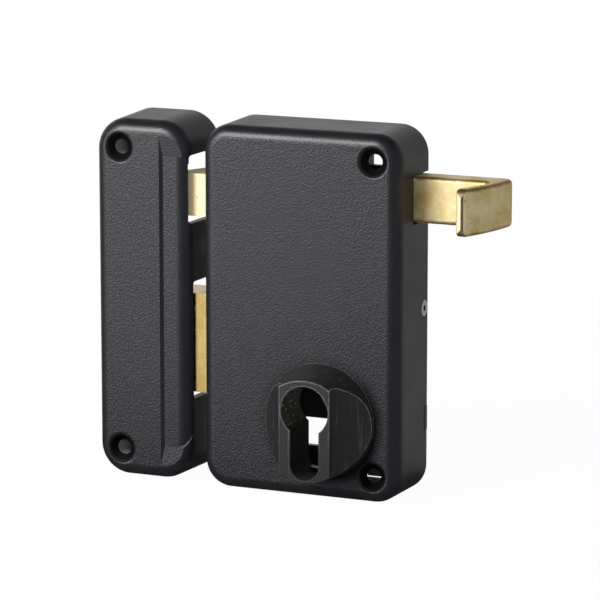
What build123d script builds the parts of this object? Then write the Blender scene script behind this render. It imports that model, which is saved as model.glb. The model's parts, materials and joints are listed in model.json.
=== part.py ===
# Rim box lock: a surface mounted case with a latch bolt, a dead bolt and a pull handle, and its keep.
# Millimetres. +X runs from the keep to the handle, +Y into the door, +Z up.
# The origin is the centre of the case on the face that lies against the door.
from build123d import *
import math
import os

os.makedirs("parts", exist_ok=True)

# Case cover
case_width = 75.0
case_height = 130.0
case_depth = 26.0
case_corner = 10.1
case_edge = 4.6
case_draft = 1.1
case_wall = 2.5
case_foot_wall = 3.7
case_front_wall = 2.7
cavity_edge = 2.0
seat_step = 0.7
plate_clearance = 0.08
running_clearance = 0.3
overrun = 1.0

# Fixing holes, alike in the case and the keep
fixing_radius = 2.6
fixing_sink_radius = 5.0
fixing_lip = 0.35
fixing_inset = 10.2
fixing_spacing = 110.0

# Keep
keep_gap = 4.3
keep_width = 37.3
keep_height = 129.7
keep_centre_z = 0.35
keep_corner = 11.8
keep_edge = 4.8
keep_draft = 1.85
keep_wall = 2.6
keep_fixing_inset = 27.0
keep_fixing_spacing = 108.4
keep_pillar_radius = 4.8
keep_strip_width = 11.6
keep_strip_depth = 0.75
keep_strip_slope = 1.3
keep_strip_half = 59.0
keep_strip_run = 7.0
keep_strip_roll = 5.2
keep_roll_inset = 0.4
keep_latch_notch_bottom = 28.5
keep_latch_notch_top = 52.7
keep_latch_notch_reach = 23.3
keep_dead_notch_bottom = -34.5
keep_dead_notch_top = 7.6
keep_dead_notch_reach = 21.3
keep_notch_corner = 1.2

# Back plate
plate_thickness = 2.0
plate_corner = 8.0
plate_tab_proud = 0.15
plate_tab_bottom = -42.5
plate_tab_top = -33.9
plate_fixing_spacing = 100.0
plate_sink_radius = 4.4
lug_reach = 7.0
lug_half_width = 15.3
lug_relief_width = 0.8
lug_relief_depth = 0.9
lug_wall_gap = 0.4
side_lug_height = 11.0
window_inset = 20.3
window_bottom = 50.2
window_width = 5.4
window_height = 7.6
opening_half_width = 16.3
opening_top = -41.8
opening_bottom = -52.0

# Side screws
side_screw_y = -2.9
right_screw_z = 1.3
left_screw_z = 17.3
side_screw_head_radius = 2.8
side_screw_radius = 1.5
side_screw_length = 7.0
side_screw_socket_across = 2.0
side_screw_socket_depth = 1.2
thread_clearance = 0.05

# Cylinder guard and the euro-profile hole
guard_inset = 29.6
guard_z = -36.7
guard_margin = 3.8
guard_taper = 2.3
guard_front_drop = 1.1
guard_proud = 14.0
guard_bar_half_width = 9.55
guard_shoulder = 12.4
guard_lobe_points = [(10.4, 10.6), (11.8, 9.0), (13.9, 6.9), (15.6, 5.1), (17.5, 3.3), (19.3, 1.9)]
guard_rim = 1.0
guard_bar_edge = 0.35
guard_spigot_step = 3.3
spigot_clearance = 0.1
euro_rise = 6.0
euro_radius = 8.75
euro_slot_half_width = 5.3
euro_height = 33.0
euro_edge = 0.3
clamp_step = 1.3
clamp_thickness = 2.0
clamp_hole_margin = 1.6
clamp_screw_half_spacing = 12.6
clamp_screw_drop = 5.4
clamp_screw_radius = 1.7
clamp_head_radius = 3.3
clamp_head_height = 1.9
clamp_socket_across = 2.5
clamp_socket_depth = 1.1
clamp_screw_bite = 5.6

# Latch bolt, its bar and the pull handle
latch_travel = 12.0
latch_bottom = 31.0
latch_top = 46.05
bolt_front = -20.5
bolt_back = -6.0
latch_nose_land = 2.4
latch_bevel_start = 6.3
latch_rebate_inset = 4.5
latch_tail_inset = 13.5
bolt_edge = 0.8
bar_bottom = 33.0
bar_top = 48.0
bar_front = -11.0
bar_thickness = 3.0
bar_left_gap = 0.1
bar_corner = 1.0
bar_lug_x = -12.0
bar_lug_thickness = 2.5
bar_lug_top = 57.5
rivet_radius = 2.0
latch_rivet_inset = 9.0
latch_rivet_half_spacing = 3.6
guide_post_x = -8.0
guide_post_radius = 2.5
slot_clearance = 0.15
stem_back = -2.3
stem_front = -11.0
stem_bottom = 32.4
stem_top = 48.9
stem_shoulder_x = 20.0
tongue_left = 4.0
handle_rivet_x = 12.0
slot_front = -13.2
grip_far_reach = 32.7
grip_tip_reach = 24.9
grip_reach = 32.4
grip_bend = 76.0
grip_thickness = 4.2
grip_root_radius = 3.0
grip_heel_radius = 3.0
grip_tip_radius = 1.9
grip_tip_corner = 3.0
handle_edge = 1.7

# Latch spring and its rod
spring_z = 53.0
spring_y = -8.0
latch_spring_radius = 2.7
latch_spring_wire = 0.8
latch_spring_turns = 8
latch_rod_radius = 1.6
latch_rod_extra = 2.5
rod_clearance = 0.2
abutment_front = -12.0
seat_gap = 0.05

# Dead bolt and its tail
dead_travel = 24.0
dead_bottom = -32.0
dead_top = 3.5
dead_end_inset = 10.5
tail_left_reach = 2.5
tail_right = 10.5
tail_bottom = -20.0
tail_head_top = 3.2
tail_top = 14.0
tail_shoulder_gap = 0.5
tail_front = -13.0
tail_thickness = 3.0
tail_corner = 1.5
kerf_clearance = 0.04
dead_rivet_inset = 6.0
dead_rivet_high = -3.0
dead_rivet_low = -14.5
cam_reach = 15.25
cam_notch_width = 8.4
cam_notch_clear = 0.25
cam_notch_corner = 1.4

# Latch lever, its pin and the main post
lever_swing = 23.0
lever_pin_x = -1.0
lever_pin_rise = 3.6
lever_back = -15.0
lever_thickness = 2.5
lever_hub_radius = 5.4
lever_nose_radius = 3.0
lever_push_gap = 0.15
lever_nose_above = 3.2
lever_nose_height = 8.0
lever_foot_length = 24.5
lever_foot_radius = 1.8
main_post_base_radius = 3.5
main_post_radius = 2.5
main_post_pivot_radius = 2.0
post_tenon_radius = 1.9
washer_radius = 4.6
shoulder_gap = 0.3
pivot_clearance = 0.05

# Spring clips on the posts
clip_thickness = 0.8
clip_radius = 3.7
clip_groove_depth = 0.5
clip_opening = 1.3
clip_clearance = 0.05
clip_gap = 0.3
post_end = 0.5

# Tumbler, its stump, pivot and spring
stump_drop = 3.0
stump_z = -6.0
stump_radius = 2.0
stump_end = -13.2
channel_clearance = 0.35
tumbler_pivot_inset = 10.5
tumbler_back = -6.0
tumbler_thickness = 2.0
tumbler_eye_radius = 5.0
tumbler_pad_radius = 4.2
tumbler_foot_radius = 3.0
tumbler_lift_gap = 0.25
tumbler_spring_inset = 20.0
tumbler_spring_radius = 1.8
tumbler_spring_wire = 0.6
tumbler_spring_turns = 6
tumbler_tab_bottom = 8.0
tumbler_tab_half_width = 3.0
tumbler_tab_reach = 7.4

# Places worked out from the sizes above
half_width = case_width / 2
half_height = case_height / 2
inner_front = case_front_wall - case_depth
cavity_half_width = half_width - case_wall
cavity_top = half_height - case_wall
cavity_bottom = case_foot_wall - half_height
plate_bottom = cavity_bottom + lug_wall_gap
fixing_x = half_width - fixing_inset
keep_right = -half_width - keep_gap
keep_centre_x = keep_right - keep_width / 2
keep_fixing_x = keep_right - keep_fixing_inset
keep_strip_left = keep_right - keep_strip_width
window_left = half_width - window_inset
guard_x = half_width - guard_inset
guard_base_radius = euro_height / 2 + guard_margin
guard_front_radius = guard_base_radius - guard_taper
guard_spigot_radius = guard_base_radius - guard_spigot_step
clamp_radius = guard_base_radius - clamp_step
euro_z = guard_z + euro_rise
euro_bottom = euro_z + euro_radius - euro_height
cam_top = euro_z + cam_reach
bar_back = bar_front + bar_thickness
bar_middle = (bar_bottom + bar_top) / 2
latch_rebate_left = latch_rebate_inset - half_width
latch_tail_end = latch_tail_inset - half_width
latch_rivet_x = latch_rivet_inset - half_width
grip_far = half_width + grip_far_reach
grip_tip_x = half_width + grip_tip_reach
dead_end = dead_end_inset - half_width
tail_left = -half_width - tail_left_reach
dead_rivet_x = dead_rivet_inset - half_width
tumbler_pivot_x = half_width - tumbler_pivot_inset
tumbler_spring_x = half_width - tumbler_spring_inset
tail_back = tail_front + tail_thickness
lever_pin_z = bar_bottom + lever_pin_rise
lever_arm = latch_travel / 2 / math.tan(math.radians(lever_swing / 2))
main_post_x = lever_pin_x + latch_travel / 2
main_post_z = lever_pin_z - lever_arm
lever_front = lever_back - lever_thickness
plate_front = -plate_thickness
tumbler_front = tumbler_back - tumbler_thickness
tumbler_pivot_z = stump_z - stump_drop / 2


def box_between(x0, x1, y0, y1, z0, z1):
    # a block given by its two corners
    block = Box(abs(x1 - x0), abs(y1 - y0), abs(z1 - z0))
    return Pos((x0 + x1) / 2, (y0 + y1) / 2, (z0 + z1) / 2) * block


def pin_along_y(x, z, radius, y_back, y_front):
    # a round pin or hole whose axis points at the door
    pin = Cylinder(radius, y_back - y_front)
    return Pos(x, (y_back + y_front) / 2, z) * Rot(X=90) * pin


def pin_along_x(x0, x1, y, z, radius):
    pin = Cylinder(radius, abs(x1 - x0))
    return Pos((x0 + x1) / 2, y, z) * Rot(Y=90) * pin


def sheet(outline, y_back, y_front):
    # a flat outline in X and Z given thickness from its back to its front
    plane = Plane.XZ.offset(-y_back)
    return extrude(plane * outline, amount=y_back - y_front)


def disc(x, z, radius):
    return Pos(x, z) * Circle(radius)


def strap(first, first_radius, second, second_radius):
    # two round ends joined by their tangents
    ends = disc(*first, first_radius) + disc(*second, second_radius)
    return make_hull(ends.edges())


def panel(x0, x1, z0, z1):
    return Pos((x0 + x1) / 2, (z0 + z1) / 2) * Rectangle(x1 - x0, z1 - z0)


def drafted_box(width, height, depth, corner, draft, edge):
    # a box with round corners whose walls lean in towards a soft front edge
    outline = RectangleRounded(width, height, corner)
    body = extrude(Plane.XZ * outline, amount=depth, taper=draft)
    front = body.faces().sort_by(Axis.Y)[0]
    return fillet(front.edges(), edge)


def sunk_hole(x, z, front, back):
    # a right-angled countersink with a soft lip that runs into a round hole
    sink_depth = fixing_sink_radius - fixing_radius
    lip_radius = fixing_sink_radius + fixing_lip
    profile = Polyline(
        (0, front - overrun),
        (lip_radius, front - overrun),
        (lip_radius, front),
        (fixing_sink_radius, front + fixing_lip),
        (fixing_radius, front + fixing_lip / 2 + sink_depth),
        (fixing_radius, back),
        (0, back),
        close=True,
    )
    turned = revolve(make_face(profile.edges()), Axis.Y)
    return Pos(x, 0, z) * Rot(Y=90) * turned


def side_screw_hole(side, z):
    # countersunk from outside into the side wall, on the line of the lug's thread
    wall_x = side * half_width
    hole_radius = side_screw_radius + thread_clearance
    hole = pin_along_x(wall_x - side * side_screw_length, wall_x, side_screw_y, z, hole_radius)
    sink_depth = side_screw_head_radius - side_screw_radius
    sink = Cone(side_screw_radius, side_screw_head_radius, sink_depth)
    sink_x = wall_x - side * sink_depth / 2
    return hole + Pos(sink_x, side_screw_y, z) * Rot(Y=side * 90) * sink


def euro_profile(margin):
    # a round above a narrower slot with a round end
    x = guard_x
    end_z = euro_bottom + euro_slot_half_width
    slot_half = euro_slot_half_width + margin
    slot = strap((x, euro_z), slot_half, (x, end_z), slot_half)
    return disc(x, euro_z, euro_radius + margin) + slot


def make_case_cover():
    body = drafted_box(case_width, case_height, case_depth, case_corner, case_draft, case_edge)
    cavity_height = cavity_top - cavity_bottom
    cavity_middle = (cavity_top + cavity_bottom) / 2
    cavity = drafted_box(
        2 * cavity_half_width,
        cavity_height,
        case_depth - case_front_wall,
        case_corner - case_wall,
        case_draft,
        cavity_edge,
    )
    body -= Pos(0, 0, cavity_middle) * cavity
    seat_outline = RectangleRounded(
        2 * (cavity_half_width + seat_step),
        cavity_height + 2 * seat_step,
        case_corner - case_wall + seat_step,
    )
    body -= sheet(Pos(0, cavity_middle) * seat_outline, 0, plate_front)
    for z in (-fixing_spacing / 2, fixing_spacing / 2):
        body -= sunk_hole(fixing_x, z, -case_depth, inner_front + overrun)
    guard_hole = guard_spigot_radius + spigot_clearance
    body -= pin_along_y(guard_x, guard_z, guard_hole, inner_front + overrun, -case_depth - overrun)
    # bolt windows in the left wall, and the stem slot in the right one, all open to the door
    window_front = bolt_front - running_clearance
    left_edge = -half_width - overrun
    left_inner = -cavity_half_width + overrun
    for bottom, top in ((latch_bottom, latch_top), (dead_bottom, dead_top)):
        low = bottom - running_clearance
        high = top + running_clearance
        body -= box_between(left_edge, left_inner, 0, window_front, low, high)
    stem_slot = box_between(
        cavity_half_width - overrun,
        half_width + overrun,
        0,
        slot_front,
        stem_bottom - running_clearance,
        stem_top + running_clearance,
    )
    body -= stem_slot
    # rim notches that take the plate's tabs, and the side screws
    for side in (-1, 1):
        x0 = side * (cavity_half_width - overrun)
        x1 = side * (half_width + overrun)
        low = plate_tab_bottom - plate_clearance
        high = plate_tab_top + plate_clearance
        body -= box_between(x0, x1, 0, plate_front - plate_clearance, low, high)
    body -= side_screw_hole(1, right_screw_z)
    body -= side_screw_hole(-1, left_screw_z)
    return body


def plate_lug(side, z):
    # an ear folded forward beside a side wall, tapped for the side screw
    outer = side * (cavity_half_width - lug_wall_gap)
    inner = outer - side * plate_thickness
    ear = box_between(inner, outer, 0, -lug_reach, z - side_lug_height / 2, z + side_lug_height / 2)
    start = side * (half_width - side_screw_length - overrun)
    end = side * half_width
    thread = pin_along_x(start, end, side_screw_y, z, side_screw_radius + thread_clearance)
    return ear, thread


def make_back_plate():
    seat_half_width = cavity_half_width + seat_step - plate_clearance
    plate_top = cavity_top + seat_step - plate_clearance
    outline = panel(-seat_half_width, seat_half_width, plate_bottom, plate_top)
    outline = fillet(outline.vertices(), plate_corner)
    tab_end = half_width + plate_tab_proud
    outline += panel(-tab_end, tab_end, plate_tab_bottom, plate_tab_top)
    # the cylinder opening with room for the cam, and the window behind the spring abutment
    outline -= euro_profile(clamp_hole_margin)
    opening_left = guard_x - opening_half_width
    opening_right = guard_x + opening_half_width
    outline -= panel(opening_left, opening_right, opening_bottom, opening_top)
    outline -= panel(window_left, window_left + window_width, window_bottom, window_bottom + window_height)
    # bend reliefs beside the two end lugs
    for side in (-1, 1):
        x0 = side * lug_half_width
        x1 = side * (lug_half_width + lug_relief_width)
        low_x, high_x = min(x0, x1), max(x0, x1)
        outline -= panel(low_x, high_x, plate_bottom - overrun, plate_bottom + lug_relief_depth)
        outline -= panel(low_x, high_x, plate_top - lug_relief_depth, plate_top + overrun)
    for z in (-fixing_spacing / 2, fixing_spacing / 2):
        outline -= disc(fixing_x, z, fixing_radius)
    for z in (-plate_fixing_spacing / 2, plate_fixing_spacing / 2):
        outline -= disc(-fixing_x, z, fixing_radius)
    posts = (
        (guide_post_x, bar_middle),
        (main_post_x, main_post_z),
        (tumbler_pivot_x, tumbler_pivot_z),
    )
    for x, z in posts:
        outline -= disc(x, z, post_tenon_radius)
    # the lanced tab over the tumbler spring leaves its own window
    tab_top = tumbler_tab_bottom + plate_thickness
    tab_left = tumbler_spring_x - tumbler_tab_half_width
    tab_right = tumbler_spring_x + tumbler_tab_half_width
    outline -= panel(tab_left, tab_right, tab_top, tab_top + tumbler_tab_reach)
    plate = sheet(outline, 0, plate_front)
    for z in (-plate_fixing_spacing / 2, plate_fixing_spacing / 2):
        sink = Cone(fixing_radius, plate_sink_radius, plate_sink_radius - fixing_radius)
        sink_y = plate_front + (plate_sink_radius - fixing_radius) / 2
        plate -= Pos(-fixing_x, sink_y, z) * Rot(X=90) * sink
    # folded lugs and tabs
    for lug_bottom in (plate_bottom, cavity_top - lug_wall_gap - plate_thickness):
        lug_top = lug_bottom + plate_thickness
        plate += box_between(-lug_half_width, lug_half_width, 0, -lug_reach, lug_bottom, lug_top)
    tab_front = plate_front - tumbler_tab_reach
    plate += box_between(tab_left, tab_right, 0, tab_front, tumbler_tab_bottom, tab_top)
    abutment_left = window_left - plate_thickness
    abutment_top = window_bottom + window_height
    plate += box_between(abutment_left, window_left, 0, abutment_front, window_bottom, abutment_top)
    rod_start = abutment_left - overrun
    plate -= pin_along_x(rod_start, window_left + overrun, spring_y, spring_z, latch_rod_radius)
    for side, z in ((1, right_screw_z), (-1, left_screw_z)):
        ear, thread = plate_lug(side, z)
        plate += ear
        plate -= thread
    return plate


def socket(across, depth):
    # a hexagon socket, its mouth on the plane z = 0
    cut = extrude(RegularPolygon(across / 2, 6, major_radius=False), amount=depth)
    return Pos(0, 0, -depth) * cut


def make_side_screws():
    screws = []
    head_height = side_screw_head_radius - side_screw_radius
    for side, z in ((1, right_screw_z), (-1, left_screw_z)):
        head = Pos(0, 0, -head_height / 2) * Cone(side_screw_radius, side_screw_head_radius, head_height)
        shank_length = side_screw_length - head_height
        shank = Pos(0, 0, -head_height - shank_length / 2) * Cylinder(side_screw_radius, shank_length)
        screw = head + shank - socket(side_screw_socket_across, side_screw_socket_depth)
        screws.append(Pos(side * half_width, side_screw_y, z) * Rot(Y=side * 90) * screw)
    return Compound(screws)


def make_cylinder_guard():
    base = Plane.XZ.offset(case_depth) * disc(guard_x, guard_z, guard_base_radius)
    front_z = guard_z - guard_front_drop
    front = Plane.XZ.offset(case_depth + guard_proud) * disc(guard_x, front_z, guard_front_radius)
    dome = loft([base, front])
    # the section across the bar: rim, hollow lobe, shoulder and riser on each side
    edge_x = guard_base_radius + overrun
    shoulder = (guard_bar_half_width, guard_shoulder)
    slope = Spline((edge_x, guard_rim), *reversed(guard_lobe_points), shoulder)
    riser = Line(shoulder, (guard_bar_half_width, guard_proud))
    rim = Line((edge_x, 0), slope @ 0)
    right = [slope, riser, rim]
    left = [mirror(edge, about=Plane.YZ) for edge in right]
    top = Line((-guard_bar_half_width, guard_proud), (guard_bar_half_width, guard_proud))
    floor = Line((-edge_x, 0), (edge_x, 0))
    section = make_face(right + left + [top, floor])
    # the section's second axis is how far the boss stands proud
    section_plane = Plane(origin=(guard_x, -case_depth, guard_z), x_dir=(1, 0, 0), z_dir=(0, 0, -1))
    ridge = extrude(section_plane * section, amount=guard_base_radius + overrun, both=True)
    boss = dome & ridge
    tip_edges = boss.faces().sort_by(Axis.Y)[0].edges()
    boss = fillet(tip_edges, guard_bar_edge)
    boss += pin_along_y(guard_x, guard_z, guard_spigot_radius, inner_front, -case_depth)
    hole = sheet(euro_profile(0), inner_front + overrun, -case_depth - guard_proud - overrun)
    boss -= hole
    mouth = boss.faces().sort_by(Axis.Y)[0].inner_wires()[0].edges()
    boss = chamfer(mouth, euro_edge)
    for x in (guard_x - clamp_screw_half_spacing, guard_x + clamp_screw_half_spacing):
        z = guard_z - clamp_screw_drop
        reach = inner_front - clamp_screw_bite - overrun
        boss -= pin_along_y(x, z, clamp_screw_radius + thread_clearance, inner_front + overrun, reach)
    return boss


def make_guard_clamp():
    outline = disc(guard_x, guard_z, clamp_radius) - euro_profile(clamp_hole_margin)
    for x in (guard_x - clamp_screw_half_spacing, guard_x + clamp_screw_half_spacing):
        outline -= disc(x, guard_z - clamp_screw_drop, clamp_screw_radius + thread_clearance)
    return sheet(outline, inner_front + clamp_thickness, inner_front)


def make_guard_screws():
    screws = []
    seat = inner_front + clamp_thickness
    for x in (guard_x - clamp_screw_half_spacing, guard_x + clamp_screw_half_spacing):
        z = guard_z - clamp_screw_drop
        shank = pin_along_y(x, z, clamp_screw_radius, seat, inner_front - clamp_screw_bite)
        head = pin_along_y(x, z, clamp_head_radius, seat + clamp_head_height, seat)
        rim = head.edges().filter_by(GeomType.CIRCLE).sort_by(Axis.Y)[-1]
        head = fillet(rim, clamp_head_height / 3)
        cut = socket(clamp_socket_across, clamp_socket_depth)
        screws.append(head + shank - Pos(x, seat + clamp_head_height, z) * Rot(X=-90) * cut)
    return Compound(screws)


def make_latch_bolt():
    tip = -half_width - latch_travel
    bevel_x = -half_width - latch_bevel_start
    land_y = bolt_front + latch_nose_land
    # plan view: the slanted back lets the door close on the bolt
    plan = Polyline(
        (tip, bolt_front),
        (latch_tail_end, bolt_front),
        (latch_tail_end, bar_front),
        (latch_rebate_left, bar_front),
        (latch_rebate_left, bolt_back),
        (bevel_x, bolt_back),
        (tip, land_y),
        close=True,
    )
    body = extrude(Plane.XY.offset(latch_bottom) * make_face(plan.edges()), amount=latch_top - latch_bottom)
    nose = body.faces().sort_by(Axis.X)[0].edges()
    body = fillet(nose, bolt_edge)
    for z in latch_rivet_heights():
        body -= pin_along_y(latch_rivet_x, z, rivet_radius, bar_front + overrun, bolt_front - overrun)
    return body


def latch_rivet_heights():
    middle = (latch_bottom + latch_top) / 2
    return (middle - latch_rivet_half_spacing, middle + latch_rivet_half_spacing)


def handle_rivet_heights():
    return (bar_middle - latch_rivet_half_spacing, bar_middle + latch_rivet_half_spacing)


def make_latch_bar():
    left = latch_rebate_left + bar_left_gap
    right = stem_shoulder_x - bar_left_gap
    outline = panel(left, right, bar_bottom, bar_top)
    outline = fillet(outline.vertices(), bar_corner)
    slot_half = guide_post_radius + slot_clearance
    slot_left = (guide_post_x - latch_travel, bar_middle)
    outline -= strap(slot_left, slot_half, (guide_post_x, bar_middle), slot_half)
    for z in latch_rivet_heights():
        outline -= disc(latch_rivet_x, z, rivet_radius)
    for z in handle_rivet_heights():
        outline -= disc(handle_rivet_x, z, rivet_radius)
    outline -= disc(lever_pin_x, lever_pin_z, rivet_radius)
    bar = sheet(outline, bar_back, bar_front)
    # the lug that the spring pushes, folded out of the bar's top edge towards the door
    lug_left = bar_lug_x - bar_lug_thickness
    lug_back = 2 * spring_y - bar_front
    lug = box_between(lug_left, bar_lug_x, lug_back, bar_front, bar_top - bar_thickness, bar_lug_top)
    top_edges = lug.edges().filter_by(Axis.X).group_by(Axis.Z)[-1]
    lug = fillet(top_edges, bar_corner)
    bar += lug
    rod_hole = latch_rod_radius + rod_clearance
    bar -= pin_along_x(lug_left - overrun, bar_lug_x + overrun, spring_y, spring_z, rod_hole)
    return bar


def rivet_pair(x, heights, y_back, y_front):
    return Compound([pin_along_y(x, z, rivet_radius, y_back, y_front) for z in heights])


def make_latch_rivets():
    return rivet_pair(latch_rivet_x, latch_rivet_heights(), bar_back, bolt_front)


def make_handle_rivets():
    return rivet_pair(handle_rivet_x, handle_rivet_heights(), stem_back, bar_front)


def make_lever_pin():
    return pin_along_y(lever_pin_x, lever_pin_z, rivet_radius, bar_back, lever_front)


def make_pull_handle():
    # plan view: a straight stem, then a curved grip that leans back over the hand
    outer = RadiusArc((grip_far, stem_back), (grip_tip_x, -grip_reach), grip_bend)
    centre = outer.arc_center
    inner_bend = grip_bend - grip_thickness
    tip_in = centre + (Vector(grip_tip_x, -grip_reach) - centre) * (inner_bend / grip_bend)
    root_x = centre.X + math.sqrt(inner_bend ** 2 - (stem_front - centre.Y) ** 2)
    root = (root_x, stem_front)
    inner = RadiusArc(tip_in, root, -inner_bend)
    rest = Polyline(root, (tongue_left, stem_front), (tongue_left, stem_back), (grip_far, stem_back))
    tip = Line(outer @ 1, tip_in)
    outline = make_face([outer, tip, inner] + rest.edges())
    rounds = (
        ((grip_far, stem_back), grip_heel_radius),
        (root, grip_root_radius),
        ((grip_tip_x, -grip_reach), grip_tip_radius),
        ((tip_in.X, tip_in.Y), grip_tip_radius),
    )
    for corner, radius in rounds:
        vertex = outline.vertices().sort_by_distance((*corner, 0))[0]
        outline = fillet(vertex, radius)
    height = stem_top - stem_bottom
    body = extrude(Plane.XY.offset(stem_bottom) * outline, amount=height)
    rims = body.faces().filter_by(Axis.Z)
    body = fillet(rims.edges(), handle_edge)
    # seen from the side, the far corners of the grip are round
    front = -body.bounding_box().min.Y
    side_outline = Pos(-front / 2, (stem_bottom + stem_top) / 2) * Rectangle(front, height)
    side_outline = fillet(side_outline.vertices().group_by(Axis.X)[0], grip_tip_corner)
    body &= extrude(Plane.YZ * side_outline, amount=grip_far + overrun)
    # the milled tongue that the bar lies on
    cut_left = tongue_left - overrun
    cut_front = stem_front - overrun
    cut_top = stem_top + overrun
    body -= box_between(cut_left, stem_shoulder_x, bar_back, cut_front, stem_bottom - overrun, cut_top)
    for z in handle_rivet_heights():
        body -= pin_along_y(handle_rivet_x, z, rivet_radius, stem_back + overrun, bar_back - overrun)
    return body


def make_guide_post():
    # a shouldered post riveted in the plate, with a groove for its clip
    place = (guide_post_x, bar_middle)
    return clipped_post(*place, bar_back, bar_front, guide_post_radius, main_post_base_radius)


def clipped_post(x, z, piece_back, piece_front, radius, base_radius):
    groove_front = piece_front - clip_gap - clip_thickness
    tenon = pin_along_y(x, z, post_tenon_radius, 0, plate_front)
    base = pin_along_y(x, z, base_radius, plate_front, piece_back + shoulder_gap)
    body = pin_along_y(x, z, radius, piece_back + shoulder_gap, groove_front - post_end)
    post = tenon + base + body
    return post - clip_groove(x, z, radius, piece_front - clip_gap)


def clip_groove(x, z, radius, y_back):
    ring = disc(x, z, radius + overrun) - disc(x, z, radius - clip_groove_depth)
    return sheet(ring, y_back, y_back - clip_thickness)


def make_clip(x, z, radius, y_back):
    # an open ring with a slot on its lower side
    inner = radius - clip_groove_depth + clip_clearance
    outline = disc(x, z, clip_radius) - disc(x, z, inner)
    outline -= panel(x - clip_opening / 2, x + clip_opening / 2, z - clip_radius - overrun, z)
    margin = clip_clearance
    return sheet(outline, y_back - margin / 2, y_back - clip_thickness + margin / 2)


def make_main_post():
    x, z = main_post_x, main_post_z
    step = lever_back + shoulder_gap
    tenon = pin_along_y(x, z, post_tenon_radius, 0, plate_front)
    base = pin_along_y(x, z, main_post_base_radius, plate_front, tail_back + shoulder_gap)
    guide = pin_along_y(x, z, main_post_radius, tail_back + shoulder_gap, step)
    groove_back = lever_front - clip_gap
    pivot = pin_along_y(x, z, main_post_pivot_radius, step, groove_back - clip_thickness - post_end)
    post = tenon + base + guide + pivot
    return post - clip_groove(x, z, main_post_pivot_radius, groove_back)


def make_lever_washer():
    bore = disc(main_post_x, main_post_z, main_post_radius + pivot_clearance)
    ring = disc(main_post_x, main_post_z, washer_radius) - bore
    return sheet(ring, tail_front - shoulder_gap, lever_back + 2 * pivot_clearance)


def make_tumbler_pivot():
    place = (tumbler_pivot_x, tumbler_pivot_z)
    return clipped_post(*place, tumbler_back, tumbler_front, main_post_pivot_radius, main_post_radius)


def make_post_clips():
    clips = [
        make_clip(guide_post_x, bar_middle, guide_post_radius, bar_front - clip_gap),
        make_clip(main_post_x, main_post_z, main_post_pivot_radius, lever_front - clip_gap),
        make_clip(tumbler_pivot_x, tumbler_pivot_z, main_post_pivot_radius, tumbler_front - clip_gap),
    ]
    return Compound(clips)


def arc_to(start, start_way, end, end_way):
    # two arcs that meet smoothly between a start and an end with given directions
    v = end - start
    t = start_way + end_way
    k = 2 * (1 - start_way.dot(end_way))
    d = (-v.dot(t) + math.sqrt(v.dot(t) ** 2 + k * v.dot(v))) / k
    meet = (start + end + (start_way - end_way) * d) * 0.5
    meet_way = ((end - end_way * d) - (start + start_way * d)).normalized()
    return [
        Edge.make_tangent_arc(start, start_way, meet),
        Edge.make_tangent_arc(meet, meet_way, end),
    ]


def coil(radius, wire, length, turns, name):
    # one wire wound round +Z from its first end, in quarter turns
    steps = 4 * turns
    pitch = (length - wire) / turns
    slope = pitch / (2 * math.pi)

    def place(step):
        angle = 2 * math.pi * step / 4
        return Vector(radius * math.cos(angle), radius * math.sin(angle), wire / 2 + pitch * step / 4)

    def heading(step):
        angle = 2 * math.pi * step / 4
        return Vector(-radius * math.sin(angle), radius * math.cos(angle), slope).normalized()

    edges = []
    for step in range(steps):
        edges += arc_to(place(step), heading(step), place(step + 1), heading(step + 1))
    path = Wire(edges)
    section = Plane(origin=path @ 0, z_dir=path % 0) * Circle(wire / 2)
    tube = sweep(section, path=path)
    rise = math.sqrt(radius ** 2 + slope ** 2)
    gap = pitch * radius / rise - wire
    print(f"{name}: {turns} turns, gap between turns {gap:.2f} mm")
    return tube


def make_latch_spring():
    start = bar_lug_x + seat_gap
    length = window_left - plate_thickness - seat_gap - start
    spring = coil(latch_spring_radius, latch_spring_wire, length, latch_spring_turns, "latch spring")
    return Pos(start, spring_y, spring_z) * Rot(Y=90) * spring


def make_latch_rod():
    start = bar_lug_x - bar_lug_thickness - latch_rod_extra
    return pin_along_x(start, window_left, spring_y, spring_z, latch_rod_radius)


def tumbler_top():
    # the straight top edge of the tumbler where its spring stands
    eye_top = tumbler_pivot_z + tumbler_eye_radius
    pad_top = stump_z + tumbler_pad_radius
    share = (tumbler_spring_x - main_post_x) / (tumbler_pivot_x - main_post_x)
    return pad_top + (eye_top - pad_top) * share


def make_tumbler_spring():
    start = tumbler_top() + 3 * seat_gap
    length = tumbler_tab_bottom - seat_gap - start
    y = (tumbler_back + tumbler_front) / 2
    spring = coil(tumbler_spring_radius, tumbler_spring_wire, length, tumbler_spring_turns, "tumbler spring")
    return Pos(tumbler_spring_x, y, start) * spring


def make_deadbolt_head():
    tip = -half_width - dead_travel
    body = box_between(tip, dead_end, bolt_back, bolt_front, dead_bottom, dead_top)
    nose = body.faces().sort_by(Axis.X)[0].edges()
    body = fillet(nose, bolt_edge)
    # a sawn kerf takes the tail
    body -= box_between(
        tail_left - kerf_clearance,
        dead_end + overrun,
        tail_back + kerf_clearance,
        tail_front - kerf_clearance,
        dead_bottom - overrun,
        dead_top + overrun,
    )
    for z in (dead_rivet_low, dead_rivet_high):
        body -= pin_along_y(dead_rivet_x, z, rivet_radius, bolt_back + overrun, bolt_front - overrun)
    return body


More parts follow.
